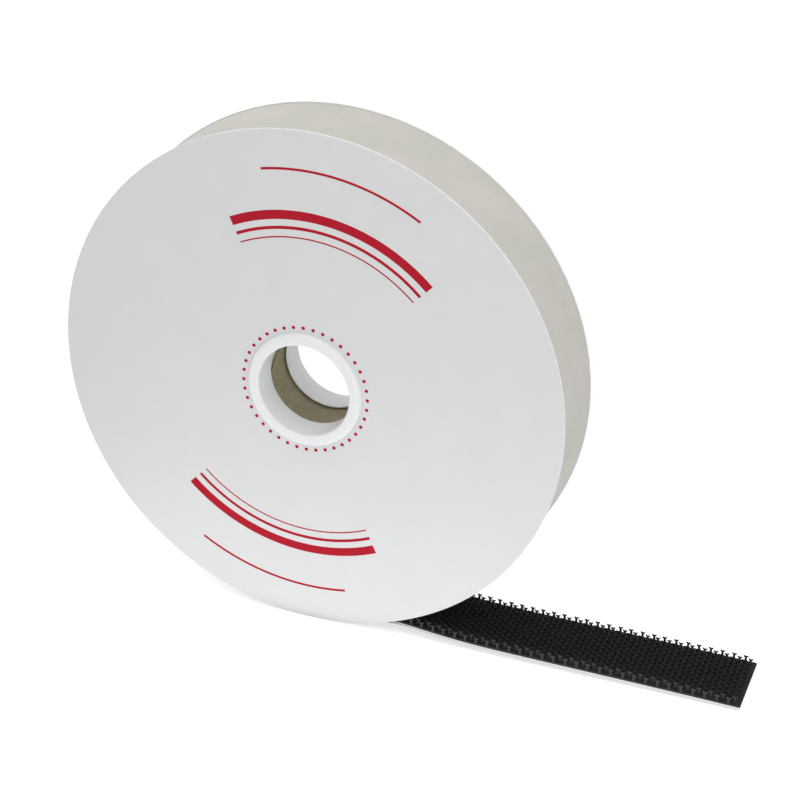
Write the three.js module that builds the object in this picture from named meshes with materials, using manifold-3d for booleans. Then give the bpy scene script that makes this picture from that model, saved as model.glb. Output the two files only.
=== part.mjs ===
// A roll of self-adhesive hook tape on a card reel, in millimetres.
// The reel stands on its rims with its axis along Y and its front towards -Y. The free end of the tape
// leaves the roll at the bottom and lies along +X, hooks up. The origin is the middle of the spindle bore.
import * as THREE from "three";
import { mergeGeometries, mergeVertices } from "three/addons/utils/BufferGeometryUtils.js";
import Module from "manifold-3d";

// Card flanges
const FLANGE_DIAMETER = 150;
const FLANGE_THICKNESS = 0.7;
const FLANGE_EDGE_ROLL = 0.2;
const RIM_SIDES = 96;

// Tape and its layers, from the outside of the roll inwards
const TAPE_WIDTH = 22;
const LINER_OVERHANG = 0.5;
const LINER_THICKNESS = 0.2;
const ADHESIVE_THICKNESS = 0.2;
const BACKING_THICKNESS = 0.35;
const HOOK_ROOT_THICKNESS = 0.2;
const HOOK_HEIGHT = 1.9;
const LAYER_GAP = 0.05;

// Hooks of the free end, fewer and wider apart than the real ones
const HOOK_PITCH = 3.3;
const HOOK_COLUMNS = 9;
const HOOK_EDGE_MARGIN = 0.6;
const HOOK_THICKNESS = 0.5;
const HOOK_STEM_WIDTH = 0.6;
const HOOK_STEM_HEIGHT = 1.2;
const HOOK_HEAD_WIDTH = 1.5;
const HOOK_SINK = 0.1;

// Moulded hubs
const HUB_BORE_DIAMETER = 27.2;
const HUB_SLEEVE_WALL = 0.6;
const HUB_LENGTH = 8.5;
const HUB_LIP_WIDTH = 2.9;
const HUB_LIP_THICKNESS = 1.4;
const HUB_LIP_ROUNDING = 1.1;
const HUB_BORE_ROUNDING = 0.7;
const HUB_LEAD_IN = 0.4;
const HUB_SIDES = 48;
const ROUNDING_STEPS = 1;

// Paperboard core
const CORE_WALL = 3;

// Fits
const SIDE_CLEARANCE = 0.2;
const FLANGE_HOLE_CLEARANCE = 0.3;
const SLEEVE_CLEARANCE = 0.3;
const WINDING_CLEARANCE = 0.3;
const RUNNING_CLEARANCE = 0.3;
const CUT_GAP = 0.3;

// Course of the outer turn: its depth under the rims, the angle right of the lowest point where the tape
// leaves the roll, and the room between the hooks of the free end and the start of the turn above them
const TURN_RECESS = 0.4;
const LEAVING_ANGLE = 12;
const LAP_CLEARANCE = 1;
const TURN_STEPS = 36;

// Course of the free end: distance from the leaving point and height of the underside above the table
const TAIL_ROUTE = [
  [3.6, 2.66],
  [7.5, 3.2],
  [11, 3.35],
  [14.5, 3.15],
  [19.5, 2.62],
  [25.5, 2.05],
  [31, 1.65],
  [37, 1.35],
  [48, 1.1],
  [61, 0.93],
  [75, 0.76],
  [89.5, 0.56],
  [100.5, 0.36],
  [112, 0.1],
];

// Sizes that follow from the driving ones
const flangeRadius = FLANGE_DIAMETER / 2;
const linerWidth = TAPE_WIDTH + 2 * LINER_OVERHANG;
const coreLength = linerWidth + 2 * SIDE_CLEARANCE;
const innerFace = coreLength / 2;
const outerFace = innerFace + FLANGE_THICKNESS;
const boreRadius = HUB_BORE_DIAMETER / 2;
const sleeveRadius = boreRadius + HUB_SLEEVE_WALL;
const lipRadius = sleeveRadius + HUB_LIP_WIDTH;
const flangeHoleRadius = sleeveRadius + FLANGE_HOLE_CLEARANCE;
const coreInnerRadius = sleeveRadius + SLEEVE_CLEARANCE;
const coreRadius = coreInnerRadius + CORE_WALL;
const turnRadius = flangeRadius - TURN_RECESS;
const tableDepth = flangeRadius * Math.cos(Math.PI / RIM_SIDES);

// Heights of the layers above the underside of the liner
const adhesiveBase = LINER_THICKNESS + LAYER_GAP;
const adhesiveTop = adhesiveBase + ADHESIVE_THICKNESS;
const backingBase = adhesiveTop + LAYER_GAP;
const backingTop = backingBase + BACKING_THICKNESS;
const hookRootBase = backingTop + LAYER_GAP;
const hookBase = hookRootBase + HOOK_ROOT_THICKNESS;
const hookTip = hookBase + HOOK_HEIGHT;

const wasm = await Module();
wasm.setup();

// A closed geometry as a solid that can be joined to others.
function solidOf(geometry) {
  const bare = geometry.index ? geometry.toNonIndexed() : geometry.clone();
  bare.deleteAttribute("normal");
  bare.deleteAttribute("uv");
  const merged = mergeVertices(bare);
  const vertProperties = merged.attributes.position.array;
  const triVerts = new Uint32Array(merged.index.array);
  return new wasm.Manifold(new wasm.Mesh({ numProp: 3, vertProperties, triVerts }));
}

// A joined solid back as a geometry.
function geometryOf(solid) {
  const mesh = solid.getMesh();
  const geometry = new THREE.BufferGeometry();
  geometry.setAttribute("position", new THREE.BufferAttribute(mesh.vertProperties, mesh.numProp));
  geometry.setIndex(new THREE.BufferAttribute(mesh.triVerts, 1));
  geometry.computeVertexNormals();
  return geometry;
}

// A solid of revolution about Y from a profile of radius and height, with a flat side at the bottom.
function turned(profile, sides) {
  return new THREE.LatheGeometry([...profile, profile[0]], sides, Math.PI / sides);
}

// A plain ring between two radii, as wide each side of the middle.
function ring(inner, outer, halfWidth, sides) {
  const profile = [
    new THREE.Vector2(inner, -halfWidth),
    new THREE.Vector2(outer, -halfWidth),
    new THREE.Vector2(outer, halfWidth),
    new THREE.Vector2(inner, halfWidth),
  ];
  return turned(profile, sides);
}

// A die-cut card disc with a pierced middle and lightly rolled rim edges.
function flange(low) {
  const high = low + FLANGE_THICKNESS;
  const profile = [
    new THREE.Vector2(flangeHoleRadius, low),
    new THREE.Vector2(flangeRadius - FLANGE_EDGE_ROLL, low),
    new THREE.Vector2(flangeRadius, low + FLANGE_EDGE_ROLL),
    new THREE.Vector2(flangeRadius, high - FLANGE_EDGE_ROLL),
    new THREE.Vector2(flangeRadius - FLANGE_EDGE_ROLL, high),
    new THREE.Vector2(flangeHoleRadius, high),
  ];
  return turned(profile, RIM_SIDES);
}

// A hub whose lip bears on the flange and whose sleeve plugs the core. Side is -1 in front, 1 behind.
function hub(side) {
  const face = outerFace + HUB_LIP_THICKNESS;
  const end = face - HUB_LENGTH;
  const outline = new THREE.Path();
  outline.moveTo(boreRadius, end);
  outline.lineTo(sleeveRadius - HUB_LEAD_IN, end);
  outline.lineTo(sleeveRadius, end + HUB_LEAD_IN);
  outline.lineTo(sleeveRadius, outerFace);
  outline.lineTo(lipRadius, outerFace);
  const lipCentre = lipRadius - HUB_LIP_ROUNDING;
  outline.absarc(lipCentre, face - HUB_LIP_ROUNDING, HUB_LIP_ROUNDING, 0, Math.PI / 2);
  const boreCentre = boreRadius + HUB_BORE_ROUNDING;
  outline.absarc(boreCentre, face - HUB_BORE_ROUNDING, HUB_BORE_ROUNDING, Math.PI / 2, Math.PI);
  const points = outline.getPoints(ROUNDING_STEPS);
  const profile = points.map((point) => new THREE.Vector2(point.x, side * point.y));
  return turned(side > 0 ? profile : profile.reverse(), HUB_SIDES);
}

// A point of the XZ plane on the underside of the outer turn, at an angle right of the lowest point.
function turnPoint(angle) {
  return new THREE.Vector2(turnRadius * Math.sin(angle), -turnRadius * Math.cos(angle));
}

// The underside of the tape in the XZ plane: the outer turn, then the free end.
function tapeCourse() {
  const leaving = THREE.MathUtils.degToRad(LEAVING_ANGLE);
  const archHeight = Math.max(...TAIL_ROUTE.map((place) => place[1]));
  const startDepth = tableDepth - archHeight - hookTip - LAP_CLEARANCE;
  const start = Math.acos(startDepth / turnRadius);
  const step = (2 * Math.PI + leaving - start) / TURN_STEPS;
  const turn = [];
  for (let i = 0; i <= TURN_STEPS; i += 1) {
    turn.push(turnPoint(start + i * step));
  }
  const leavingPoint = turn[TURN_STEPS];
  const route = TAIL_ROUTE.map(
    ([along, height]) => new THREE.Vector2(leavingPoint.x + along, height - tableDepth),
  );
  return { turn, tail: [leavingPoint, ...route], whole: [...turn, ...route] };
}

// The direction along a course at one of its points.
function directionAt(course, index) {
  const before = course[Math.max(index - 1, 0)];
  const after = course[Math.min(index + 1, course.length - 1)];
  return after.clone().sub(before).normalize();
}

// A course moved towards the hooks by a distance.
function offsetCourse(course, distance) {
  return course.map((point, index) => {
    const along = directionAt(course, index);
    return new THREE.Vector2(point.x - along.y * distance, point.y + along.x * distance);
  });
}

// Turns a geometry drawn in the XY plane and extruded along Z into the XZ plane, centred on Y.
function stood(geometry, width) {
  return geometry.rotateX(Math.PI / 2).translate(0, width / 2, 0);
}

// A layer of the tape along a course, between two heights above its underside.
function layer(course, low, high, width) {
  const outline = [...offsetCourse(course, low), ...offsetCourse(course, high).reverse()];
  const settings = { depth: width, bevelEnabled: false };
  return stood(new THREE.ExtrudeGeometry(new THREE.Shape(outline), settings), width);
}

// The course from a distance along it to its end.
function courseAfter(course, distance) {
  const first = frameAt(course, distance);
  return [first.point, ...course.filter((point, index) => lengthTo(course, index) > distance)];
}

// The length of a course up to one of its points.
function lengthTo(course, index) {
  let total = 0;
  for (let i = 1; i <= index; i += 1) {
    total += course[i].distanceTo(course[i - 1]);
  }
  return total;
}

// The point and direction of a course at a distance from its start.
function frameAt(course, distance) {
  let index = 1;
  let passed = 0;
  while (index < course.length - 1 && passed + course[index].distanceTo(course[index - 1]) < distance) {
    passed += course[index].distanceTo(course[index - 1]);
    index += 1;
  }
  const from = course[index - 1];
  const to = course[index];
  const along = to.clone().sub(from).normalize();
  return { point: from.clone().addScaledVector(along, distance - passed), along };
}

// One hook: a flat stem that flares along the tape into two crooks.
function hook() {
  const stem = HOOK_STEM_WIDTH / 2;
  const head = HOOK_HEAD_WIDTH / 2;
  const outline = new THREE.Shape();
  outline.moveTo(-stem, -HOOK_SINK);
  outline.lineTo(stem, -HOOK_SINK);
  outline.lineTo(stem, HOOK_STEM_HEIGHT);
  outline.lineTo(head, HOOK_HEIGHT);
  outline.lineTo(-head, HOOK_HEIGHT);
  outline.lineTo(-stem, HOOK_STEM_HEIGHT);
  const settings = { depth: HOOK_THICKNESS, bevelEnabled: false };
  return stood(new THREE.ExtrudeGeometry(outline, settings), HOOK_THICKNESS);
}

// The hooks of the free end on their root layer, in columns set half a pitch apart in turn.
function hookField(tail) {
  const rooted = courseAfter(tail, CUT_GAP);
  const root = layer(rooted, hookRootBase, hookBase, TAPE_WIDTH);
  const surface = offsetCourse(rooted, hookBase);
  const fieldLength = lengthTo(surface, surface.length - 1);
  const columnSpacing = (TAPE_WIDTH - 2 * HOOK_EDGE_MARGIN) / (HOOK_COLUMNS - 1);
  const template = hook();
  const hooks = [];
  for (let column = 0; column < HOOK_COLUMNS; column += 1) {
    const across = HOOK_EDGE_MARGIN - TAPE_WIDTH / 2 + column * columnSpacing;
    const stagger = (column % 2) / 2;
    const first = HOOK_PITCH * (0.5 + stagger);
    for (let along = first; along < fieldLength - HOOK_HEAD_WIDTH / 2; along += HOOK_PITCH) {
      const frame = frameAt(surface, along);
      const place = new THREE.Matrix4().makeBasis(
        new THREE.Vector3(frame.along.x, 0, frame.along.y),
        new THREE.Vector3(0, 1, 0),
        new THREE.Vector3(-frame.along.y, 0, frame.along.x),
      );
      place.setPosition(frame.point.x, across, frame.point.y);
      hooks.push(template.clone().applyMatrix4(place));
    }
  }
  console.log(`hooks on the free end: ${hooks.length}`);
  return geometryOf(solidOf(root).add(solidOf(mergeGeometries(hooks))));
}

// The least gap between stretches of the wound tape that lie a quarter turn or more apart along it.
function leastGapToItself(course) {
  const inside = offsetCourse(course, hookTip);
  const apart = (Math.PI / 2) * turnRadius;
  const along = course.map((point, index) => lengthTo(course, index));
  let least = Infinity;
  course.forEach((point, i) => {
    inside.forEach((other, j) => {
      if (Math.abs(along[i] - along[j]) > apart) {
        least = Math.min(least, point.distanceTo(other));
      }
    });
  });
  return least;
}

const coatedCard = { color: 0xdcdde0, roughness: 0.55, metalness: 0 };
const hubPlastic = { color: 0xf0f1f2, roughness: 0.4, metalness: 0 };
const coreBoard = { color: 0x8a8068, roughness: 0.9, metalness: 0 };
const blackTape = { color: 0x1c1a19, roughness: 0.6, metalness: 0 };
const clearAdhesive = { color: 0xd9d6cb, roughness: 0.3, metalness: 0 };
const linerPaper = { color: 0xcbc8be, roughness: 0.45, metalness: 0 };

const group = new THREE.Group();

// Adds one named piece with a material of its own.
function piece(name, geometry, finish) {
  const mesh = new THREE.Mesh(geometry, new THREE.MeshStandardMaterial(finish));
  mesh.name = name;
  group.add(mesh);
}

const course = tapeCourse();
const packRadius = (turnRadius - hookTip) * Math.cos(Math.PI / TURN_STEPS) - RUNNING_CLEARANCE;
const packBore = coreRadius + WINDING_CLEARANCE;

piece("front_flange", flange(-outerFace), coatedCard);
piece("rear_flange", flange(innerFace), coatedCard);
piece("front_hub", hub(-1), hubPlastic);
piece("rear_hub", hub(1), hubPlastic);
piece("core_tube", ring(coreInnerRadius, coreRadius, innerFace, HUB_SIDES), coreBoard);
piece("inner_turns", ring(packBore, packRadius, linerWidth / 2, RIM_SIDES), blackTape);
piece("outer_turn_hooks", layer(course.turn, hookRootBase, hookTip, TAPE_WIDTH), blackTape);
piece("hook_tape", layer(course.whole, backingBase, backingTop, TAPE_WIDTH), blackTape);
piece("tail_hooks", hookField(course.tail), blackTape);
piece("adhesive_film", layer(course.whole, adhesiveBase, adhesiveTop, TAPE_WIDTH), clearAdhesive);
piece("release_liner", layer(course.whole, 0, LINER_THICKNESS, linerWidth), linerPaper);

console.log(`least gap of the wound tape to itself: ${leastGapToItself(course.whole).toFixed(2)} mm`);

export default group;
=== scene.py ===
"""Dresses a roll of hook tape: card flanges, moulded hubs, a paper core and the tape with its free end.

Lengths are in metres, in the reel's own frame: +Y runs along the axle to the rear face, +Z is up, and
the free end of the tape lies along +X. Angles about the axle are measured from +X towards +Z.
"""
import logging
import math
import random
from bisect import bisect_right
from collections.abc import Sequence
from dataclasses import dataclass
from enum import Enum

import bmesh
import bpy
from mathutils import Matrix, Vector
from mathutils.geometry import interpolate_bezier


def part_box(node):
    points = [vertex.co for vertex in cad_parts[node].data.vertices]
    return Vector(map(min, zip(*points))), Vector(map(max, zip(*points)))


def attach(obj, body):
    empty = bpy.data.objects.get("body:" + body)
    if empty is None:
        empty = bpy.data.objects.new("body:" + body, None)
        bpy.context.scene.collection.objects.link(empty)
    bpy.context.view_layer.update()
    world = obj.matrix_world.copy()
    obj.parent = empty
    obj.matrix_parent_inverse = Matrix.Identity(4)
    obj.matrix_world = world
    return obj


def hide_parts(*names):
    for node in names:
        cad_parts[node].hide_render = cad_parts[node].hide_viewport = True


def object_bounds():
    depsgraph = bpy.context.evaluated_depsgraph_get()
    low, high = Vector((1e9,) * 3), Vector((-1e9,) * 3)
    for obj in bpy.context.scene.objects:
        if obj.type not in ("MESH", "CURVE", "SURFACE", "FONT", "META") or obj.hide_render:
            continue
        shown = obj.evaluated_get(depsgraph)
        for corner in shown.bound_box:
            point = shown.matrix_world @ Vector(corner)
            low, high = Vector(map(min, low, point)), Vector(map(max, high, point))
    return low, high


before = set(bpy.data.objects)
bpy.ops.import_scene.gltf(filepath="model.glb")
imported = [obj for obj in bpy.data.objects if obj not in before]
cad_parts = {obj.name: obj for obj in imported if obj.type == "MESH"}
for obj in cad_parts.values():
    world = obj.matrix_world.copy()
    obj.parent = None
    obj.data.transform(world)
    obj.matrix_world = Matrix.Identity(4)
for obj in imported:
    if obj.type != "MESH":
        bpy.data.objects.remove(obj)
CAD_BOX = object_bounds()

LOG = logging.getLogger("hook_tape_roll")
AXLE = Vector((0, 1, 0))
FULL_TURN = 2 * math.pi
SHARP_ANGLE = math.radians(35)
TOUCHING = 1e-6
# least share of a face's normal along a direction that the face is said to look in, or lie square to
FACING = 0.5
SQUARE = 0.9999
# sockets of a mix node for colours
SHARE, FIRST, SECOND, MIXED = 0, 6, 7, 2

Colour = tuple[float, float, float, float]


class Body(Enum):
    """The two bodies that pieces ride on."""

    TAPE_END = "tape_end"
    REEL = "reel"


class Slot(Enum):
    """The record's material slots."""

    CARD = "coated_card"
    HUB = "hub_plastic"
    CORE = "core_board"
    TAPE = "black_tape"
    ADHESIVE = "adhesive"
    LINER = "liner_paper"


class Side(Enum):
    """The two faces of the reel, by the way they look along the axle."""

    FRONT = -1
    REAR = 1

    def node(self, part: str) -> str:
        """Names the frame's node of a part on this side."""
        return f"{self.name.lower()}_{part}"


def linear(hex_colour: str) -> Colour:
    """Turns an sRGB hex colour into linear light.

    Args:
        hex_colour: a colour such as "#C8343C".

    Returns:
        Its linear red, green and blue, and a full alpha.
    """
    shares = [int(hex_colour[place:place + 2], 16) / 255 for place in (1, 3, 5)]
    red, green, blue = [s / 12.92 if s <= 0.04045 else ((s + 0.055) / 1.055) ** 2.4 for s in shares]
    return red, green, blue, 1.0


def add_node(tree: bpy.types.NodeTree, kind: str, inputs: dict | None = None, **settings) -> bpy.types.Node:
    """Adds a shader node.

    Args:
        tree: the material's or world's node tree.
        kind: the node's type, after the words ShaderNode.
        inputs: for each input's name or number, a value or the output that feeds it.
        settings: the node's own properties.

    Returns:
        The new node.
    """
    node = tree.nodes.new("ShaderNode" + kind)
    for name, value in settings.items():
        setattr(node, name, value)
    for name, value in (inputs or {}).items():
        if isinstance(value, bpy.types.NodeSocket):
            tree.links.new(value, node.inputs[name])
        else:
            node.inputs[name].default_value = value
    return node


@dataclass(frozen=True)
class Finish:
    """A surface: what it is made of, how it was made, and how it takes light."""

    name: str
    colour: str
    second_colour: str
    roughness: float
    ior: float
    grain: float

    def material(self) -> bpy.types.Material:
        """Makes the finish's material.

        Returns:
            A material with the shader's fixed values set and the finish's pattern on it.
        """
        made = bpy.data.materials.new(self.name)
        made.use_nodes = True
        shader = made.node_tree.nodes["Principled BSDF"]
        shader.inputs["Roughness"].default_value = self.roughness
        shader.inputs["IOR"].default_value = self.ior
        self.dress(made.node_tree, shader)
        return made

    def dress(self, tree: bpy.types.NodeTree, shader: bpy.types.Node) -> None:
        """Puts the finish's own pattern on the shader."""
        raise NotImplementedError


@dataclass(frozen=True)
class MottledFinish(Finish):
    """A plain film or cut face, whose two near colours run into each other in fine clouds."""

    detail: float = 3.0

    def dress(self, tree: bpy.types.NodeTree, shader: bpy.types.Node) -> None:
        """Mixes the two colours by a noise of the grain's size."""
        place = add_node(tree, "TexCoord").outputs["Object"]
        mottle = add_node(
            tree, "TexNoise", {"Vector": place, "Scale": 1 / self.grain, "Detail": self.detail}
        )
        tint = add_node(
            tree,
            "Mix",
            {SHARE: mottle.outputs["Fac"], FIRST: linear(self.colour), SECOND: linear(self.second_colour)},
            data_type="RGBA",
        )
        tree.links.new(tint.outputs[MIXED], shader.inputs["Base Color"])


@dataclass(frozen=True)
class ClayCoatedBoard(Finish):
    """White clay-coated board, calendered: a smooth semi-matt white with a faint cloudiness of its pulp."""

    name: str = "clay_coated_board_calendered"
    colour: str = "#D8D9DA"
    second_colour: str = "#DFDFDF"
    roughness: float = 0.5
    ior: float = 1.5
    grain: float = 0.0007
    cloud: float = 0.009
    grain_depth: float = 0.00001

    def dress(self, tree: bpy.types.NodeTree, shader: bpy.types.Node) -> None:
        """Adds pulp clouds to the colour and a fine grain to the surface."""
        place = add_node(tree, "TexCoord").outputs["Object"]
        clouds = add_node(tree, "TexNoise", {"Vector": place, "Scale": 1 / self.cloud, "Detail": 4.0})
        tint = add_node(
            tree,
            "Mix",
            {SHARE: clouds.outputs["Fac"], FIRST: linear(self.colour), SECOND: linear(self.second_colour)},
            data_type="RGBA",
        )
        grain = add_node(tree, "TexNoise", {"Vector": place, "Scale": 1 / self.grain, "Detail": 3.0})
        bump = add_node(tree, "Bump", {"Height": grain.outputs["Fac"], "Distance": self.grain_depth})
        tree.links.new(tint.outputs[MIXED], shader.inputs["Base Color"])
        tree.links.new(bump.outputs["Normal"], shader.inputs["Normal"])


@dataclass(frozen=True)
class DieCutBoardPaintedHighlight(Finish):
    """The die-cut edge of coated board: bare pulp in thin plies and quite matt, painted paler than the
    coating as a painted highlight where the edge catches the light.
    """

    name: str = "greyboard_die_cut_painted_highlight"
    colour: str = "#E6E5E2"
    second_colour: str = "#F8F8F7"
    roughness: float = 0.85
    ior: float = 1.47
    grain: float = 0.0009
    ply: float = 0.00035

    def dress(self, tree: bpy.types.NodeTree, shader: bpy.types.Node) -> None:
        """Adds plies that run round the rim, broken up by torn fibres."""
        place = add_node(tree, "TexCoord").outputs["Object"]
        plies = add_node(
            tree,
            "TexWave",
            {"Vector": place, "Scale": 1 / (FULL_TURN * self.ply), "Distortion": 2.0, "Detail": 2.0},
            bands_direction="Y",
        )
        fibres = add_node(tree, "TexNoise", {"Vector": place, "Scale": 1 / self.grain, "Detail": 4.0})
        torn = add_node(
            tree, "Math", {0: plies.outputs["Fac"], 1: fibres.outputs["Fac"]}, operation="MULTIPLY"
        )
        tint = add_node(
            tree,
            "Mix",
            {SHARE: torn.outputs[0], FIRST: linear(self.second_colour), SECOND: linear(self.colour)},
            data_type="RGBA",
        )
        tree.links.new(tint.outputs[MIXED], shader.inputs["Base Color"])


@dataclass(frozen=True)
class OffsetInk(MottledFinish):
    """Red offset ink on coated board: an even, deep crimson film that the board has drunk in quite matt."""

    name: str = "red_ink_offset_printed"
    colour: str = "#AE1127"
    second_colour: str = "#B61B2E"
    roughness: float = 0.75
    ior: float = 1.25
    grain: float = 0.0016


@dataclass(frozen=True)
class MouldedPolystyrene(Finish):
    """White polystyrene, injection moulded: cooler and brighter than the card, with a satin gloss."""

    name: str = "white_polystyrene_moulded"
    colour: str = "#E9EBED"
    second_colour: str = "#EFF0F1"
    roughness: float = 0.32
    ior: float = 1.59
    grain: float = 0.0012
    flow: float = 0.006
    grain_depth: float = 0.000012

    def dress(self, tree: bpy.types.NodeTree, shader: bpy.types.Node) -> None:
        """Adds faint flow marks and the orange peel of a mould."""
        place = add_node(tree, "TexCoord").outputs["Object"]
        flow = add_node(tree, "TexNoise", {"Vector": place, "Scale": 1 / self.flow, "Distortion": 1.0})
        tint = add_node(
            tree,
            "Mix",
            {SHARE: flow.outputs["Fac"], FIRST: linear(self.colour), SECOND: linear(self.second_colour)},
            data_type="RGBA",
        )
        peel = add_node(tree, "TexNoise", {"Vector": place, "Scale": 1 / self.grain})
        bump = add_node(tree, "Bump", {"Height": peel.outputs["Fac"], "Distance": self.grain_depth})
        tree.links.new(tint.outputs[MIXED], shader.inputs["Base Color"])
        tree.links.new(bump.outputs["Normal"], shader.inputs["Normal"])


@dataclass(frozen=True)
class SpiralGreyboard(Finish):
    """Recycled greyboard, spiral wound: a matt grey-brown with short pale and dark fibres."""

    name: str = "greyboard_spiral_wound"
    colour: str = "#A39D82"
    second_colour: str = "#928870"
    roughness: float = 0.92
    ior: float = 1.47
    grain: float = 0.0006
    cloud: float = 0.0035
    fleck_colour: str = "#C9C1A8"
    stain_colour: str = "#6B6049"
    grain_depth: float = 0.0001

    def dress(self, tree: bpy.types.NodeTree, shader: bpy.types.Node) -> None:
        """Adds clouds, pale flecks, dark specks and a felted surface."""
        place = add_node(tree, "TexCoord").outputs["Object"]
        clouds = add_node(tree, "TexNoise", {"Vector": place, "Scale": 1 / self.cloud, "Detail": 5.0})
        tint = add_node(
            tree,
            "Mix",
            {SHARE: clouds.outputs["Fac"], FIRST: linear(self.colour), SECOND: linear(self.second_colour)},
            data_type="RGBA",
        )
        fibres = add_node(
            tree, "TexNoise", {"Vector": place, "Scale": 1 / self.grain, "Detail": 4.0, "Distortion": 1.5}
        )
        flecks = add_node(
            tree,
            "MapRange",
            {"Value": fibres.outputs["Fac"], "From Min": 0.56, "From Max": 0.72, "To Max": 0.7},
        )
        flecked = add_node(
            tree,
            "Mix",
            {SHARE: flecks.outputs[0], FIRST: tint.outputs[MIXED], SECOND: linear(self.fleck_colour)},
            data_type="RGBA",
        )
        stains = add_node(
            tree,
            "MapRange",
            {"Value": fibres.outputs["Fac"], "From Min": 0.44, "From Max": 0.28, "To Max": 0.8},
        )
        stained = add_node(
            tree,
            "Mix",
            {SHARE: stains.outputs[0], FIRST: flecked.outputs[MIXED], SECOND: linear(self.stain_colour)},
            data_type="RGBA",
        )
        bump = add_node(tree, "Bump", {"Height": fibres.outputs["Fac"], "Distance": self.grain_depth})
        tree.links.new(stained.outputs[MIXED], shader.inputs["Base Color"])
        tree.links.new(bump.outputs["Normal"], shader.inputs["Normal"])


@dataclass(frozen=True)
class ReleasePaper(Finish):
    """Greige release paper, siliconised: smooth and satin, with faint warm clouds and long streaks."""

    name: str = "release_paper_siliconised"
    colour: str = "#CFCAC4"
    second_colour: str = "#C8C7BD"
    roughness: float = 0.5
    ior: float = 1.43
    grain: float = 0.0011
    cloud: float = 0.013
    streak: float = 0.03
    grain_depth: float = 0.000008

    def dress(self, tree: bpy.types.NodeTree, shader: bpy.types.Node) -> None:
        """Adds clouds to the colour and streaks that run along the paper, on the strip's own length."""
        place = add_node(tree, "TexCoord").outputs["Object"]
        clouds = add_node(tree, "TexNoise", {"Vector": place, "Scale": 1 / self.cloud, "Detail": 3.0})
        patches = add_node(
            tree, "MapRange", {"Value": clouds.outputs["Fac"], "From Min": 0.36, "From Max": 0.64}
        )
        tint = add_node(
            tree,
            "Mix",
            {SHARE: patches.outputs[0], FIRST: linear(self.colour), SECOND: linear(self.second_colour)},
            data_type="RGBA",
        )
        along = add_node(tree, "Attribute", attribute_name="along").outputs["Fac"]
        across = add_node(tree, "SeparateXYZ", {0: place}).outputs["Y"]
        stretched = add_node(tree, "Math", {0: along, 1: self.grain / self.streak}, operation="MULTIPLY")
        strip = add_node(tree, "CombineXYZ", {"X": stretched.outputs[0], "Y": across})
        streaks = add_node(
            tree, "TexNoise", {"Vector": strip.outputs[0], "Scale": 1 / self.grain, "Detail": 3.0}
        )
        bump = add_node(tree, "Bump", {"Height": streaks.outputs["Fac"], "Distance": self.grain_depth})
        tree.links.new(tint.outputs[MIXED], shader.inputs["Base Color"])
        tree.links.new(bump.outputs["Normal"], shader.inputs["Normal"])


@dataclass(frozen=True)
class PaleSideAndPaintedLightPaper(MottledFinish):
    """The inner side of the release paper and its cut edges: matt, and painted whiter than the outer side,
    partly the paper's own paler side and partly painted light from the front.
    """

    name: str = "release_paper_pale_side_painted_light"
    colour: str = "#F0F0ED"
    second_colour: str = "#F8F8F6"
    roughness: float = 0.7
    ior: float = 1.43
    grain: float = 0.0014


@dataclass(frozen=True)
class AcrylicAdhesive(MottledFinish):
    """Acrylic pressure-sensitive adhesive, coated: milky, soft and slightly wet-looking at its cut edge."""

    name: str = "acrylic_adhesive_coated"
    colour: str = "#F3F3F1"
    second_colour: str = "#E9E9E6"
    roughness: float = 0.3
    ior: float = 1.47
    grain: float = 0.0015
    detail: float = 2.0


@dataclass(frozen=True)
class MouldedNylon(Finish):
    """Black nylon, moulded: a warm, soft black with little gloss, which lies dark between the hooks."""

    name: str = "black_nylon_moulded"
    colour: str = "#16130F"
    second_colour: str = "#231F1A"
    roughness: float = 0.8
    ior: float = 1.35
    grain: float = 0.0004
    grain_depth: float = 0.00003

    def dress(self, tree: bpy.types.NodeTree, shader: bpy.types.Node) -> None:
        """Adds uneven pigment and the fine drag marks of the mould."""
        place = add_node(tree, "TexCoord").outputs["Object"]
        drag = add_node(tree, "TexNoise", {"Vector": place, "Scale": 1 / self.grain, "Detail": 3.0})
        tint = add_node(
            tree,
            "Mix",
            {SHARE: drag.outputs["Fac"], FIRST: linear(self.colour), SECOND: linear(self.second_colour)},
            data_type="RGBA",
        )
        bump = add_node(tree, "Bump", {"Height": drag.outputs["Fac"], "Distance": self.grain_depth})
        tree.links.new(tint.outputs[MIXED], shader.inputs["Base Color"])
        tree.links.new(bump.outputs["Normal"], shader.inputs["Normal"])


@dataclass(frozen=True)
class PaintedFrontLightNylon(MottledFinish):
    """Dull black nylon painted greyer than the moulded faces, as painted light from the front on the outer
    hooks; on the web's cut sides partly their own duller grey as well.
    """

    name: str = "black_nylon_painted_front_light"
    colour: str = "#2A2826"
    second_colour: str = "#3B3936"
    roughness: float = 0.6
    ior: float = 1.45
    grain: float = 0.0005
    detail: float = 2.0


def spin_outline(bm: bmesh.types.BMesh, outline: Sequence[tuple[float, float]], steps: int) -> None:
    """Turns a closed outline about the axle into a ring.

    Args:
        bm: the mesh that gets the ring.
        outline: the corners, each as its radius and its place along the axle.
        steps: the number of steps round the ring.
    """
    corners = [bm.verts.new((radius, along, 0)) for radius, along in outline]
    sides = [bm.edges.new(pair) for pair in zip(corners, corners[1:] + corners[:1])]
    bmesh.ops.spin(
        bm, geom=corners + sides, cent=(0, 0, 0), axis=AXLE, angle=FULL_TURN, steps=steps, use_merge=True
    )
    bmesh.ops.remove_doubles(bm, verts=bm.verts, dist=TOUCHING)
    bmesh.ops.recalc_face_normals(bm, faces=bm.faces)


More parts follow.
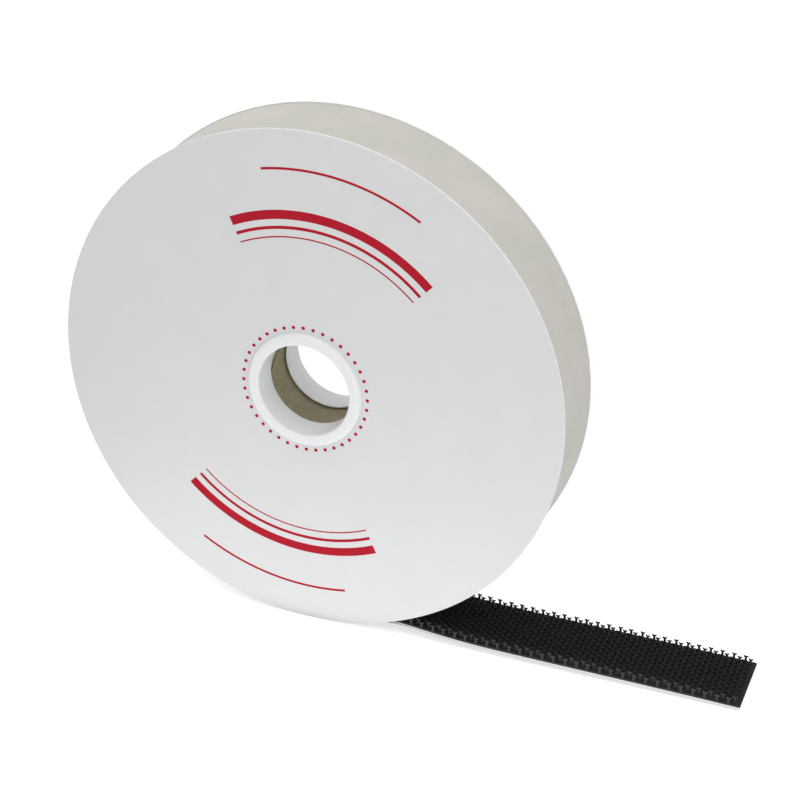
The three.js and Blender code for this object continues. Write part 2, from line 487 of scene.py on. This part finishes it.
def round_ring(bm: bmesh.types.BMesh, radius: float, along: float, amount: float, segments: int) -> None:
    """Rounds one circular edge of a ring.

    Args:
        bm: the mesh of the ring.
        radius: the edge's radius.
        along: the edge's place along the axle.
        amount: the rounding's size.
        segments: the number of facets across the rounding.
    """
    on_ring = {
        vert
        for vert in bm.verts
        if abs(math.hypot(vert.co.x, vert.co.z) - radius) < TOUCHING and abs(vert.co.y - along) < TOUCHING
    }
    edges = [edge for edge in bm.edges if on_ring.issuperset(edge.verts)]
    bmesh.ops.bevel(
        bm, geom=edges, offset=amount, affect="EDGES", segments=segments, profile=0.5, material=-1
    )


def sweep(
    bm: bmesh.types.BMesh, outline: Sequence[tuple[float, float]], course: "Course", material: int = 0
) -> None:
    """Draws a closed outline along a course and caps both ends.

    Args:
        bm: the mesh that gets the strip, with its length kept in the attribute "along".
        outline: the corners, each as its place across the tape and its height above the tape's underside.
        course: the run that the outline follows.
        material: the number of the strip's material.
    """
    layer = bm.verts.layers.float.get("along") or bm.verts.layers.float.new("along")
    ring = [bm.verts.new(course.frames[0] @ Vector((0, across, height))) for across, height in outline]
    edges = [bm.edges.new(pair) for pair in zip(ring, ring[1:] + ring[:1])]
    faces = bmesh.ops.contextual_create(bm, geom=edges)["faces"]
    for vert in ring:
        vert[layer] = course.stations[0]
    for here, there, station in zip(course.frames, course.frames[1:], course.stations[1:]):
        grown = bmesh.ops.extrude_edge_only(bm, edges=edges)["geom"]
        fresh = {item for item in grown if isinstance(item, bmesh.types.BMVert)}
        edges = [e for e in grown if isinstance(e, bmesh.types.BMEdge) and fresh.issuperset(e.verts)]
        faces += [item for item in grown if isinstance(item, bmesh.types.BMFace)]
        bmesh.ops.transform(bm, matrix=there @ here.inverted(), verts=list(fresh))
        for vert in fresh:
            vert[layer] = station
    faces += bmesh.ops.contextual_create(bm, geom=edges)["faces"]
    bmesh.ops.recalc_face_normals(bm, faces=faces)
    for face in faces:
        face.material_index = material


def make_piece(
    name: str,
    bm: bmesh.types.BMesh,
    materials: Sequence[bpy.types.Material],
    body: Body,
    nodes: Sequence[str] = (),
) -> bpy.types.Object:
    """Turns a finished mesh into a piece of the object.

    Args:
        name: the piece's name.
        bm: its mesh, which is freed.
        materials: its materials, in the order of the mesh's material numbers.
        body: the body that it rides on.
        nodes: the frame's solids that it stands for.

    Returns:
        The piece's object.
    """
    for face in bm.faces:
        face.smooth = abs(face.normal.y) < SQUARE
    mesh = bpy.data.meshes.new(name)
    bm.to_mesh(mesh)
    bm.free()
    for material in materials:
        mesh.materials.append(material)
    mesh.set_sharp_from_angle(angle=SHARP_ANGLE)
    piece = bpy.data.objects.new(name, mesh)
    bpy.context.scene.collection.objects.link(piece)
    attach(piece, body.value)
    if nodes:
        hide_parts(*nodes)
    LOG.info("%s: %d faces on %s", name, len(mesh.polygons), body.value)
    return piece


class Course:
    """A run of the tape's underside in the XZ plane, with the tape's frame at each of its points."""

    def __init__(self, points: Sequence[Vector]) -> None:
        """Works out the frames and the distances along the run.

        Args:
            points: the run's points, from the wound end to the free end.
        """
        self.points = list(points)
        self.frames: list[Matrix] = []
        self.stations: list[float] = [0.0]
        for before, after in zip(self.points, self.points[1:]):
            self.stations.append(self.stations[-1] + (after - before).length)
        for place, here in enumerate(self.points):
            before = self.points[max(place - 1, 0)]
            after = self.points[min(place + 1, len(self.points) - 1)]
            self.frames.append(self.frame_at(here, after - before))

    @staticmethod
    def frame_at(here: Vector, ahead: Vector) -> Matrix:
        """Gives the tape's frame: x along the tape, y across it and z away from its underside."""
        forward = ahead.normalized()
        turned = Matrix((forward, AXLE, forward.cross(AXLE))).transposed()
        return Matrix.Translation(here) @ turned.to_4x4()

    @property
    def length(self) -> float:
        """The run's whole length."""
        return self.stations[-1]

    def at(self, station: float) -> Matrix:
        """Gives the tape's frame at any distance along the run.

        Args:
            station: the distance from the run's start.

        Returns:
            The frame there.
        """
        last = len(self.points) - 2
        place = min(max(bisect_right(self.stations, station) - 1, 0), last)
        span = self.stations[place + 1] - self.stations[place]
        share = (station - self.stations[place]) / span
        ahead = self.frames[place].col[0].xyz.lerp(self.frames[place + 1].col[0].xyz, share)
        return self.frame_at(self.points[place].lerp(self.points[place + 1], share), ahead)


@dataclass
class CardFlange:
    """A die-cut disc of coated card with a hole for the hub."""

    side: Side
    hole_radius: float = 0.0145
    edge_roll: float = 0.00018
    roll_segments: int = 3
    steps: int = 256

    def build(self, faces: bpy.types.Material, edge: bpy.types.Material) -> bpy.types.Object:
        """Models the disc.

        Args:
            faces: the material of both coated faces.
            edge: the material of the cut edges, painted paler than the faces as a painted highlight.

        Returns:
            The flange.
        """
        node = self.side.node("flange")
        low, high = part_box(node)
        radius = high.z
        bm = bmesh.new()
        spin_outline(
            bm,
            [(self.hole_radius, low.y), (radius, low.y), (radius, high.y), (self.hole_radius, high.y)],
            self.steps,
        )
        for face in bm.faces:
            face.material_index = int(abs(face.normal.y) <= FACING)
        for along in (low.y, high.y):
            round_ring(bm, radius, along, self.edge_roll, self.roll_segments)
        return make_piece(f"{node}_card", bm, [faces, edge], Body.REEL, [node])


@dataclass
class PrintedRings:
    """Plain red print on the front card: two groups of stripes and a ring of dots round the hub."""

    film: float = 0.00002
    groups: int = 2
    first_group: float = math.radians(79)
    # each stripe's inner radius, outer radius and angle from end to end
    stripes: tuple[tuple[float, float, float], ...] = (
        (0.0638, 0.0645, math.radians(42)),
        (0.0500, 0.0526, math.radians(69)),
        (0.0472, 0.0481, math.radians(69)),
        (0.0448, 0.0452, math.radians(69)),
    )
    stripe_step: float = math.radians(1.5)
    dots: int = 40
    dot_circle: float = 0.0187
    dot_radius: float = 0.00053
    dot_sides: int = 14

    def build(self, ink: bpy.types.Material) -> bpy.types.Object:
        """Models the ink film on the card's face.

        Args:
            ink: the ink's material.

        Returns:
            The print.
        """
        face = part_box(Side.FRONT.node("flange"))[0].y
        bm = bmesh.new()
        for group in range(self.groups):
            middle = self.first_group + group * FULL_TURN / self.groups
            for inner, outer, sweep in self.stripes:
                self.stripe(bm, face, (inner, outer), middle, sweep)
        for dot in range(self.dots):
            self.dot(bm, face, dot * FULL_TURN / self.dots)
        bmesh.ops.recalc_face_normals(bm, faces=bm.faces)
        return make_piece("front_flange_print", bm, [ink], Body.REEL)

    def stripe(
        self, bm: bmesh.types.BMesh, face: float, edges: tuple[float, float], middle: float, sweep: float
    ) -> None:
        """Adds one curved stripe.

        Args:
            bm: the mesh of the print.
            face: the card's face along the axle.
            edges: the stripe's inner and outer radius.
            middle: the angle of the stripe's middle.
            sweep: the angle from one end of the stripe to the other.
        """
        start = Matrix.Rotation(-(middle - sweep / 2), 4, AXLE)
        corners = [
            bm.verts.new(start @ Vector((radius, along, 0)))
            for along, radii in ((face, edges), (face - self.film, edges[::-1]))
            for radius in radii
        ]
        sides = [bm.edges.new(pair) for pair in zip(corners, corners[1:] + corners[:1])]
        bmesh.ops.contextual_create(bm, geom=sides)
        grown = bmesh.ops.spin(
            bm,
            geom=sides,
            cent=(0, 0, 0),
            axis=-AXLE,
            angle=sweep,
            steps=round(sweep / self.stripe_step),
        )["geom_last"]
        bmesh.ops.contextual_create(bm, geom=[e for e in grown if isinstance(e, bmesh.types.BMEdge)])

    def dot(self, bm: bmesh.types.BMesh, face: float, angle: float) -> None:
        """Adds one dot of the ring round the hub.

        Args:
            bm: the mesh of the print.
            face: the card's face along the axle.
            angle: the dot's angle about the axle.
        """
        centre = Vector((math.cos(angle), 0, math.sin(angle))) * self.dot_circle
        centre += AXLE * (face - self.film / 2)
        facing = Matrix.Translation(centre) @ Matrix.Rotation(math.pi / 2, 4, "X")
        bmesh.ops.create_cone(
            bm,
            cap_ends=True,
            segments=self.dot_sides,
            radius1=self.dot_radius,
            radius2=self.dot_radius,
            depth=self.film,
            matrix=facing,
        )


@dataclass
class MouldedHub:
    """A moulded hub: a ring that lies on the card and a sleeve that plugs the core."""

    side: Side
    bore_radius: float = 0.0136
    sleeve_radius: float = 0.0142
    lip_rounding: float = 0.0012
    bore_rounding: float = 0.0008
    lead_in: float = 0.0004
    end_rounding: float = 0.00012
    rounding_segments: int = 6
    end_segments: int = 3
    steps: int = 144

    def build(self, plastic: bpy.types.Material) -> bpy.types.Object:
        """Models the hub.

        Args:
            plastic: the hub's material.

        Returns:
            The hub.
        """
        node = self.side.node("hub")
        low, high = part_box(node)
        lip_radius = high.z
        outward = self.side.value
        face, sleeve_end = (low.y, high.y) if self.side is Side.FRONT else (high.y, low.y)
        card_low, card_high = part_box(self.side.node("flange"))
        seat = card_low.y if self.side is Side.FRONT else card_high.y
        lead_start = sleeve_end + outward * self.lead_in
        bm = bmesh.new()
        spin_outline(
            bm,
            [
                (lip_radius, seat),
                (lip_radius, face),
                (self.bore_radius, face),
                (self.bore_radius, sleeve_end),
                (self.sleeve_radius - self.lead_in, sleeve_end),
                (self.sleeve_radius, lead_start),
                (self.sleeve_radius, seat),
            ],
            self.steps,
        )
        round_ring(bm, lip_radius, face, self.lip_rounding, self.rounding_segments)
        round_ring(bm, self.bore_radius, face, self.bore_rounding, self.rounding_segments)
        round_ring(bm, self.bore_radius, sleeve_end, self.end_rounding, self.end_segments)
        return make_piece(f"{node}_moulding", bm, [plastic], Body.REEL, [node])


@dataclass
class PaperCore:
    """A spiral-wound paper tube, whose inner ply meets itself in a slanting seam."""

    inner_radius: float = 0.0145
    ply: float = 0.0005
    lead: float = 0.083
    seam_gap: float = 0.0007
    seam_angle: float = math.radians(168.7)
    seam_place: float = 0.00005
    # turns that the ply is wound past the seam's middle at each end
    run_out: float = 0.25
    steps: int = 120

    def build(self, board: bpy.types.Material, painted_edge_shading: bpy.types.Material) -> bpy.types.Object:
        """Models the tube and its inner ply.

        Args:
            board: the tube's material.
            painted_edge_shading: the material of the ply's edges, painted dark as painted shade in the
                seam's gap.

        Returns:
            The core.
        """
        low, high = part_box("core_tube")
        wall = self.inner_radius + self.ply
        bm = bmesh.new()
        spin_outline(bm, [(wall, low.y), (high.z, low.y), (high.z, high.y), (wall, high.y)], self.steps)
        tube = set(bm.faces)
        self.wind_ply(bm, low.y, high.y)
        ply = [face for face in bm.faces if face not in tube]
        bmesh.ops.recalc_face_normals(bm, faces=ply)
        for face in ply:
            # the ply's edges get painted shade: a dark board stands in for the shadow in the seam's gap
            face.material_index = int(abs(face.normal.y) > FACING)
        return make_piece("paper_core", bm, [board, painted_edge_shading], Body.REEL, ["core_tube"])

    def wind_ply(self, bm: bmesh.types.BMesh, front: float, rear: float) -> None:
        """Winds the inner ply past both ends of the tube and trims it there.

        Args:
            bm: the mesh of the core.
            front: the tube's front end along the axle.
            rear: the tube's rear end along the axle.
        """
        start = Matrix.Rotation(-(self.seam_angle - FULL_TURN * self.run_out), 4, AXLE)
        near = self.seam_place + self.lead * self.run_out + self.seam_gap / 2
        far = near + self.lead - self.seam_gap
        turns = 1 + 2 * self.run_out
        inside, outside = self.inner_radius, self.inner_radius + self.ply
        corners = [
            bm.verts.new(start @ Vector((radius, along, 0)))
            for radius, along in ((inside, near), (outside, near), (outside, far), (inside, far))
        ]
        sides = [bm.edges.new(pair) for pair in zip(corners, corners[1:] + corners[:1])]
        old = set(bm.verts) - set(corners)
        bmesh.ops.spin(
            bm,
            geom=corners + sides,
            cent=(0, 0, 0),
            axis=-AXLE,
            angle=FULL_TURN * turns,
            steps=round(self.steps * turns),
            dvec=-AXLE * self.lead / self.steps,
        )
        for end, outward in ((front, -AXLE), (rear, AXLE)):
            strip = [vert for vert in bm.verts if vert not in old]
            geom = strip + [e for e in bm.edges if e.verts[0] not in old]
            geom += [f for f in bm.faces if f.verts[0] not in old]
            cut = bmesh.ops.bisect_plane(
                bm, geom=geom, plane_co=AXLE * end, plane_no=outward, clear_outer=True, dist=TOUCHING
            )["geom_cut"]
            bmesh.ops.holes_fill(bm, edges=[e for e in cut if isinstance(e, bmesh.types.BMEdge)], sides=0)


@dataclass
class HookTape:
    """The tape: release liner, adhesive and hook web, wound on the reel and laid out on the table."""

    turn_radius: float = 0.0746
    leaving_angle: float = math.radians(12)
    lap_clearance: float = 0.001
    tongue_radius: float = 0.0713
    tongue_start: float = math.radians(13)
    tongue_rise: float = math.radians(16)
    turn_step: float = math.radians(2.5)
    tail_cuts: int = 6
    card_clearance: float = 0.00005
    liner_top: float = 0.0002
    adhesive_top: float = 0.0005
    web_top: float = 0.0011
    hook_tip: float = 0.0030
    columns: int = 21
    # outer hook columns on each edge painted greyer, as painted light from the front
    painted_light_columns: int = 2
    edge_margin: float = 0.00005
    hook_pitch: float = 0.00333
    hook_thickness: float = 0.00036
    hook_sink: float = 0.0001
    hook_lean: float = math.radians(6)
    hook_drift: float = 0.00012
    hook_first: float = 0.0023
    hook_end: float = 0.0007
    hook_seed: int = 7
    layer: float = 0.0030
    pack_step: float = math.radians(6)
    # distance from the leaving point, and height of the liner's underside above the table
    tail_route: tuple[tuple[float, float], ...] = (
        (0.0036, 0.00266),
        (0.0075, 0.0032),
        (0.011, 0.00335),
        (0.0145, 0.00315),
        (0.0195, 0.00262),
        (0.0255, 0.00205),
        (0.031, 0.00165),
        (0.037, 0.00135),
        (0.048, 0.0011),
        (0.061, 0.00093),
        (0.075, 0.00076),
        (0.0895, 0.00056),
        (0.1005, 0.00036),
        (0.112, 0.0001),
    )
    # half of a hook's outline: along the tape, and up from the web
    hook_half: tuple[tuple[float, float], ...] = (
        (0.00046, 0.0),
        (0.00034, 0.0005),
        (0.00031, 0.0012),
        (0.0004, 0.00143),
        (0.00062, 0.00152),
        (0.0007, 0.00166),
        (0.0006, 0.0019),
        (0.00034, 0.00181),
        (0.0, 0.0017),
    )

    @property
    def table(self) -> float:
        """The height of the table under the reel."""
        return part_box(Side.FRONT.node("flange"))[0].z

    @property
    def half_web(self) -> float:
        """Half of the web's width."""
        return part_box("hook_tape")[1].y

    @property
    def half_liner(self) -> float:
        """Half of the liner's width, which just clears the cards."""
        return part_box(Side.REAR.node("flange"))[0].y - self.card_clearance

    @property
    def lap_angle(self) -> float:
        """The angle from straight down at which the outer turn comes clear of the free end."""
        arch = max(height for _, height in self.tail_route)
        return math.acos((-self.table - arch - self.hook_tip - self.lap_clearance) / self.turn_radius)

    @staticmethod
    def below(radius: float, angle: float) -> Vector:
        """Gives the point at an angle from straight down, towards the free end."""
        return Vector((radius * math.sin(angle), 0, -radius * math.cos(angle)))

    def turn_points(self) -> list[Vector]:
        """Lists the points of the outer turn, from its lap round to the leaving point."""
        swing = FULL_TURN + self.leaving_angle - self.lap_angle
        steps = round(swing / self.turn_step)
        return [self.below(self.turn_radius, self.lap_angle + swing * i / steps) for i in range(steps + 1)]

    def tongue_points(self) -> list[Vector]:
        """Lists the points where the liner rises from the turn beneath to the outer turn."""
        swing = self.lap_angle - self.tongue_start
        steps = round(2 * swing / self.turn_step)
        climb = self.turn_radius - self.tongue_radius
        points = []
        for i in range(steps):
            angle = self.tongue_start + swing * i / steps
            share = max(0.0, (angle - self.tongue_rise) / (self.lap_angle - self.tongue_rise))
            eased = share * share * (3 - 2 * share)
            points.append(self.below(self.tongue_radius + climb * eased, angle))
        return points

    def tail_points(self) -> list[Vector]:
        """Lists the points of the free end, on one smooth curve through its route."""
        leaving = self.below(self.turn_radius, self.leaving_angle)
        knots = [leaving]
        knots += [Vector((leaving.x + along, 0, self.table + height)) for along, height in self.tail_route]
        ways = [Vector((math.cos(self.leaving_angle), 0, math.sin(self.leaving_angle)))]
        ways += [(after - before).normalized() for before, after in zip(knots, knots[2:])]
        ways.append((knots[-1] - knots[-2]).normalized())
        points = [leaving]
        for start, end, way, next_way in zip(knots, knots[1:], ways, ways[1:]):
            reach = (end - start).length / 3
            points += interpolate_bezier(
                start, start + way * reach, end - next_way * reach, end, self.tail_cuts + 1
            )[1:]
        return points

    def pack_points(self) -> list[Vector]:
        """Lists the points of the inner turns, one spiral from the core to under the outer turn."""
        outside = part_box("inner_turns")[1].z
        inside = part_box("core_tube")[1].z + self.layer + self.lap_clearance / 2
        swing = FULL_TURN * (outside - inside) / self.layer
        steps = round(swing / self.pack_step)
        return [
            self.below(outside - self.layer * swing / FULL_TURN * (1 - i / steps), swing * i / steps)
            for i in range(steps + 1)
        ]

    @staticmethod
    def strip(half_width: float, bottom: float, top: float) -> list[tuple[float, float]]:
        """Gives the outline of a flat layer of the tape."""
        return [(-half_width, bottom), (half_width, bottom), (half_width, top), (-half_width, top)]

    def column_places(self) -> list[float]:
        """Lists the places of the hook columns across the web."""
        reach = self.half_web - self.edge_margin - self.hook_thickness / 2
        return [reach * (2 * i / (self.columns - 1) - 1) for i in range(self.columns)]

    def hook_shape(self) -> bpy.types.Mesh:
        """Models one hook, a stem with a crook to each side along the tape.

        Returns:
            A mesh of the hook, standing at the origin.
        """
        bm = bmesh.new()
        side = [bm.verts.new((along, -self.hook_thickness / 2, up)) for along, up in self.hook_half]
        for pair in zip(side, side[1:]):
            bm.edges.new(pair)
        bmesh.ops.mirror(bm, geom=bm.verts[:] + bm.edges[:], axis="X", merge_dist=TOUCHING)
        bm.edges.new([vert for vert in bm.verts if len(vert.link_edges) == 1])
        front = bmesh.ops.contextual_create(bm, geom=bm.edges[:])["faces"]
        grown = bmesh.ops.extrude_face_region(bm, geom=front)["geom"]
        moved = [item for item in grown if isinstance(item, bmesh.types.BMVert)]
        bmesh.ops.translate(bm, vec=AXLE * self.hook_thickness, verts=moved)
        bmesh.ops.recalc_face_normals(bm, faces=bm.faces)
        mesh = bpy.data.meshes.new("hook_shape")
        bm.to_mesh(mesh)
        bm.free()
        return mesh

    def build_hooks(
        self, tail: Course, nylon: bpy.types.Material, painted_light_nylon: bpy.types.Material
    ) -> bpy.types.Object:
        """Sets rows of hooks on the free end, each column half a pitch off its neighbours.

        Args:
            tail: the course of the free end.
            nylon: the hooks' material.
            painted_light_nylon: the material of the outer columns, painted greyer as painted light from the
                front.

        Returns:
            The hooks.
        """
        draw = random.Random(self.hook_seed)
        shape = self.hook_shape()
        lift = self.web_top - self.hook_sink
        bm = bmesh.new()
        for number, across in enumerate(self.column_places()):
            from_edge = min(number, self.columns - 1 - number)
            old = len(bm.faces)
            station = self.hook_first + self.hook_pitch / 2 * (number % 2)
            while station < tail.length - self.hook_end:
                lean = Matrix.Rotation(draw.uniform(-self.hook_lean, self.hook_lean), 4, "Y")
                drift = draw.uniform(-self.hook_drift, self.hook_drift)
                stand = tail.at(station + drift) @ Matrix.Translation((0, across, lift)) @ lean
                shape.transform(stand)
                bm.from_mesh(shape)
                shape.transform(stand.inverted())
                station += self.hook_pitch
            # the outer columns get a greyer nylon: painted light that stands in for the light from the
            # front
            if from_edge < self.painted_light_columns:
                for face in list(bm.faces)[old:]:
                    face.material_index = 1
        bpy.data.meshes.remove(shape)
        return make_piece("tail_hook_field", bm, [nylon, painted_light_nylon], Body.TAPE_END, ["tail_hooks"])

    def build_turn_hooks(self, turn: Course, nylon: bpy.types.Material) -> bpy.types.Object:
        """Models the hooks under the outer turn as close rails, one to a column.

        Args:
            turn: the course of the outer turn.
            nylon: the rails' material.

        Returns:
            The rails.
        """
        half = self.hook_thickness / 2
        outline = [(-self.half_web, self.web_top), (self.half_web, self.web_top)]
        floor = self.web_top + self.hook_sink
        for across in reversed(self.column_places()):
            outline += [(across + half, floor), (across + half, self.hook_tip)]
            outline += [(across - half, self.hook_tip), (across - half, floor)]
        bm = bmesh.new()
        sweep(bm, outline, turn)
        return make_piece("outer_turn_rails", bm, [nylon], Body.TAPE_END, ["outer_turn_hooks"])

    def build_layer(
        self,
        name: str,
        outline: Sequence[tuple[float, float]],
        course: Course,
        materials: Sequence[bpy.types.Material],
        node: str,
    ) -> bpy.types.Object:
        """Models one unbroken layer of the tape.

        Args:
            name: the piece's name.
            outline: the layer's outline.
            course: the run that it follows.
            materials: its material, and the material of its edges if they differ.
            node: the solid that it stands for.

        Returns:
            The layer.
        """
        bm = bmesh.new()
        sweep(bm, outline, course)
        for face in bm.faces:
            if abs(face.normal.y) > FACING:
                face.material_index = len(materials) - 1
        return make_piece(name, bm, materials, Body.TAPE_END, [node])

    def build_liner(
        self, course: Course, outer: bpy.types.Material, inner: bpy.types.Material
    ) -> bpy.types.Object:
        """Models the liner, whose inner side and edges are painted paler than its outer side, partly their
        own paler colour and partly painted light.

        Args:
            course: the run that it follows.
            outer: the material of the side that lies outwards on the roll.
            inner: the material of the side under the adhesive and of the edges, painted paler, partly as
                painted light.

        Returns:
            The liner.
        """
        bm = bmesh.new()
        sweep(bm, self.strip(self.half_liner, 0, self.liner_top), course, 1)
        along = bm.verts.layers.float["along"]
        # the underside keeps the outer paper; the top and the cut edges stay painted paler, partly as
        # painted light from the front
        for face in bm.faces:
            middle = sum(vert[along] for vert in face.verts) / len(face.verts)
            if face.normal.dot(course.at(middle).col[2].xyz) < -FACING:
                face.material_index = 0
        return make_piece(
            "liner_strip", bm, [outer, inner], Body.TAPE_END, ["release_liner"]
        )

    def build_pack(self, nylon: bpy.types.Material, paper: bpy.types.Material) -> bpy.types.Object:
        """Models the inner turns as one spiral of tape with its liner outwards.

        Args:
            nylon: the tape's material.
            paper: the liner's material.

        Returns:
            The inner turns.
        """
        spiral = Course(self.pack_points())
        bm = bmesh.new()
        sweep(bm, self.strip(self.half_liner, 0, self.liner_top), spiral, 1)
        sweep(bm, self.strip(self.half_web, self.adhesive_top, self.layer - self.liner_top), spiral, 0)
        return make_piece("wound_tape", bm, [nylon, paper], Body.REEL, ["inner_turns"])

    def build(self) -> None:
        """Models the tape."""
        nylon = MouldedNylon().material()
        paper = ReleasePaper().material()
        # the web's cut sides take a greyer nylon: partly their own duller grey, partly painted light from
        # the front
        painted_edge_shading = PaintedFrontLightNylon("black_nylon_cut_side_painted_light", "#262422", "#302E2B").material()
        turn, tail = self.turn_points(), self.tail_points()
        whole = Course(turn + tail[1:])
        lined = Course(self.tongue_points() + turn + tail[1:])
        liner = self.build_liner(lined, paper, PaleSideAndPaintedLightPaper().material())
        adhesive = self.build_layer(
            "adhesive_strip",
            self.strip(self.half_web, self.liner_top, self.adhesive_top),
            whole,
            [AcrylicAdhesive().material()],
            "adhesive_film",
        )
        web = self.build_layer(
            "hook_web",
            self.strip(self.half_web, self.adhesive_top, self.web_top),
            whole,
            [nylon, painted_edge_shading],
            "hook_tape",
        )
        hooks = self.build_hooks(Course(tail), nylon, PaintedFrontLightNylon().material())
        rails = self.build_turn_hooks(Course(turn), nylon)
        pack = self.build_pack(nylon, paper)
        2 * self.half_liner


@dataclass(frozen=True)
class Lamp:
    """A soft lamp with a rectangular face, which the camera doesn't see."""

    name: str
    place: tuple[float, float, float]
    size: tuple[float, float]
    power: float
    aim: tuple[float, float, float] = (0.0, 0.0, 0.0)

    def build(self) -> None:
        """Sets the lamp up."""
        light = bpy.data.lights.new(self.name, "AREA")
        light.shape = "RECTANGLE"
        light.size, light.size_y = self.size
        light.energy = self.power
        lamp = bpy.data.objects.new(self.name, light)
        lamp.location = self.place
        lamp.rotation_euler = (Vector(self.aim) - Vector(self.place)).to_track_quat("-Z", "Y").to_euler()
        lamp.visible_camera = False
        bpy.context.scene.collection.objects.link(lamp)


@dataclass
class Studio:
    """A white table under soft light, and the camera."""

    camera_place: tuple[float, float, float] = (0.194601, -0.432623, 0.232932)
    camera_right: tuple[float, float, float] = (0.92984, 0.36796, 0.0)
    camera_up: tuple[float, float, float] = (-0.16737, 0.42294, 0.89057)
    lens: float = 84.23
    sensor: float = 36.0
    table_reach: float = 4.0
    table_colour: str = "#F0F0F0"
    table_fill: float = 0.55
    sky: float = 0.626
    lamps: tuple[Lamp, ...] = (
        Lamp("rear_softbox", (0.1, 0.45, 1.6), (1.5, 1.5), 4.8),
        Lamp("front_softbox", (-0.2, -0.7, 1.5), (1.2, 1.2), 6.0),
        Lamp("side_softbox", (0.5, -0.45, 0.0), (0.3, 0.3), 0.7),
        # a light panel that lies on the table in front of the reel
        Lamp("table_panel", (0.025, -0.054, -0.0748), (0.23, 0.08), 0.035, (0.025, -0.054, 1.0)),
    )

    def build(self) -> None:
        """Sets the table, the sky, the lamps and the camera."""
        bpy.context.scene.view_settings.view_transform = "Standard"
        self.lay_table()
        self.light_sky()
        for lamp in self.lamps:
            lamp.build()
        self.set_camera()

    def lay_table(self) -> None:
        """Lays the table, which shows white to the camera and keeps the reel's shadow."""
        bm = bmesh.new()
        bmesh.ops.create_grid(bm, x_segments=1, y_segments=1, size=self.table_reach)
        bmesh.ops.translate(bm, vec=(0, 0, CAD_BOX[0].z), verts=bm.verts)
        mesh = bpy.data.meshes.new("table")
        bm.to_mesh(mesh)
        bm.free()
        surface = bpy.data.materials.new("white_acrylic_cast")
        surface.use_nodes = True
        tree = surface.node_tree
        tree.nodes.clear()
        rays = add_node(tree, "LightPath")
        fill = add_node(
            tree, "Math", {0: rays.outputs["Is Camera Ray"], 1: self.table_fill}, operation="MULTIPLY"
        )
        glow = add_node(tree, "Emission", {"Strength": fill.outputs[0]})
        matt = add_node(tree, "BsdfDiffuse", {"Color": linear(self.table_colour)})
        both = add_node(tree, "AddShader", {0: matt.outputs[0], 1: glow.outputs[0]})
        add_node(tree, "OutputMaterial", {"Surface": both.outputs[0]})
        mesh.materials.append(surface)
        table = bpy.data.objects.new("table", mesh)
        bpy.context.scene.collection.objects.link(table)

    def light_sky(self) -> None:
        """Lights the scene evenly, and shows white to the camera and to reflections."""
        world = bpy.data.worlds.new("studio_white")
        world.use_nodes = True
        tree = world.node_tree
        tree.nodes.clear()
        rays = add_node(tree, "LightPath")
        seen = add_node(
            tree,
            "Math",
            {0: rays.outputs["Is Camera Ray"], 1: rays.outputs["Is Glossy Ray"]},
            operation="MAXIMUM",
        )
        through = add_node(
            tree, "Math", {0: seen.outputs[0], 1: rays.outputs["Is Transmission Ray"]}, operation="MAXIMUM"
        )
        strength = add_node(tree, "Mix", {0: through.outputs[0], 2: self.sky, 3: 1.0}, data_type="FLOAT")
        white = add_node(tree, "Background", {"Color": linear("#FFFFFF"), "Strength": strength.outputs[0]})
        add_node(tree, "OutputWorld", {"Surface": white.outputs[0]})
        bpy.context.scene.world = world

    def set_camera(self) -> None:
        """Sets the camera at the photograph's viewing angle, without roll."""
        lens = bpy.data.cameras.new("camera")
        lens.lens = self.lens
        lens.sensor_width = self.sensor
        camera = bpy.data.objects.new("camera", lens)
        right, up = Vector(self.camera_right), Vector(self.camera_up)
        turned = Matrix((right, up, right.cross(up))).transposed().to_4x4()
        camera.matrix_world = Matrix.Translation(self.camera_place) @ turned
        bpy.context.scene.collection.objects.link(camera)
        bpy.context.scene.camera = camera


def main() -> None:
    """Builds the studio, the reel and the tape, in that order."""
    logging.basicConfig(level=logging.INFO, format="%(message)s")
    Studio().build()
    card = ClayCoatedBoard().material()
    # the cut edges are painted paler than the faces, as a painted highlight
    cut_edge_painted_highlight = DieCutBoardPaintedHighlight().material()
    plastic = MouldedPolystyrene().material()
    for side in Side:
        CardFlange(side).build(card, cut_edge_painted_highlight)
        MouldedHub(side).build(plastic)
    PrintedRings().build(OffsetInk().material())
    # a dark board for the seam's walls: painted shade, not a glued edge
    painted_seam_shade_board = SpiralGreyboard(
        "greyboard_painted_seam_shade", "#3E382B", "#342F24", fleck_colour="#5B5341", stain_colour="#29241B"
    )
    PaperCore().build(SpiralGreyboard().material(), painted_seam_shade_board.material())
    HookTape().build()


if __name__ == "__main__":
    main()
